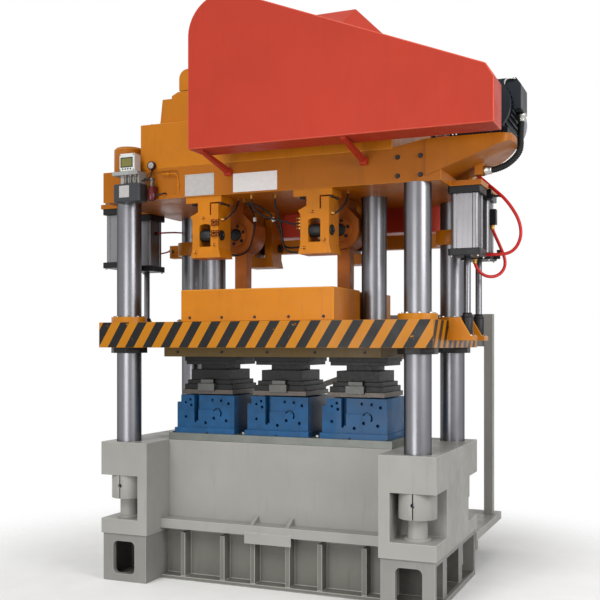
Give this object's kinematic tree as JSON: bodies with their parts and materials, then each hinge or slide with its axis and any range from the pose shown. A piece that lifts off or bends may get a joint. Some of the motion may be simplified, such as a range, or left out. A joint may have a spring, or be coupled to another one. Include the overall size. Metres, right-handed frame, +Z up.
{
  "type": "roofing tile press",
  "caption": "Four-column roofing tile press: grey cast base, chromed columns, sliding platen with tile dies over blue moulds, geared crown, belt guard and motor.",
  "frame": {"origin": "floor face of the base, in the middle of the columns", "axes": "+Z up, +X to the machine's right seen from the front, -Y to the front"},
  "size_m": [3.5881, 2.8715, 4.91],
  "materials": {
    "grey_paint": "satin paint with a warm grey tone",
    "table_steel": "machined, lightly oiled",
    "blue_paint": "gloss paint, a little worn",
    "chrome": "polished",
    "orange_paint": "semi-gloss paint",
    "aluminium": "drawn tube, satin",
    "casting_paint": "paint over a rough casting",
    "motor_paint": "satin paint",
    "black_rubber": "matt corrugated sleeve",
    "red_paint": "satin paint on sheet steel",
    "dark_steel": "machined and oiled",
    "black_paint": "satin paint",
    "white_plastic": "moulded",
    "pump_metal": "bare grey casting",
    "tank_plastic": "moulded",
    "filter_plastic": "tinted",
    "red_hose": "smooth hose"
  },
  "bodies": {
    "frame": {"sub_base": "grey_paint", "feet": "grey_paint", "base_end_left": "grey_paint", "base_end_right": "grey_paint", "base_beam": "grey_paint", "base_ledges": "grey_paint", "rear_platform": "grey_paint", "platform_legs": "grey_paint", "rear_posts": "grey_paint", "rear_rails": "grey_paint", "column_nuts": "grey_paint", "bolster_plate": "table_steel", "moulds": "blue_paint", "columns": "chrome", "balance_barrels": "aluminium", "crown_beam": "orange_paint", "gear_box": "orange_paint", "bearing_pedestals": "orange_paint", "motor_arm": "orange_paint", "hanger_forks": "orange_paint", "rear_tie_beam": "orange_paint", "crank_housings": "casting_paint", "motor": "motor_paint", "motor_conduit": "black_rubber", "belt_guard": "red_paint", "guard_stays": "red_paint", "rear_gear_hood": "red_paint", "hanger_rollers": "dark_steel", "balance_caps": "black_paint", "air_fittings": "black_paint", "lubricator_box": "white_plastic", "lubricator_shelf": "pump_metal", "lubricator_tank": "tank_plastic", "oil_filter": "filter_plastic", "air_hose_outer": "red_hose", "air_hose_inner": "red_hose"},
    "slide": {"slide_plate": "orange_paint", "slide_boxes": "orange_paint", "die_holder": "orange_paint", "upper_dies": "dark_steel", "guide_bushes": "dark_steel", "plungers": "chrome", "connecting_rods": "casting_paint", "side_brackets": "orange_paint", "balance_rods": "chrome"}
  },
  "joints": [
    {"name": "slide_travel", "type": "slide", "parent": "frame", "child": "slide", "axis": [0, 0, 1], "range_m": [0, 0.24]}
  ]
}
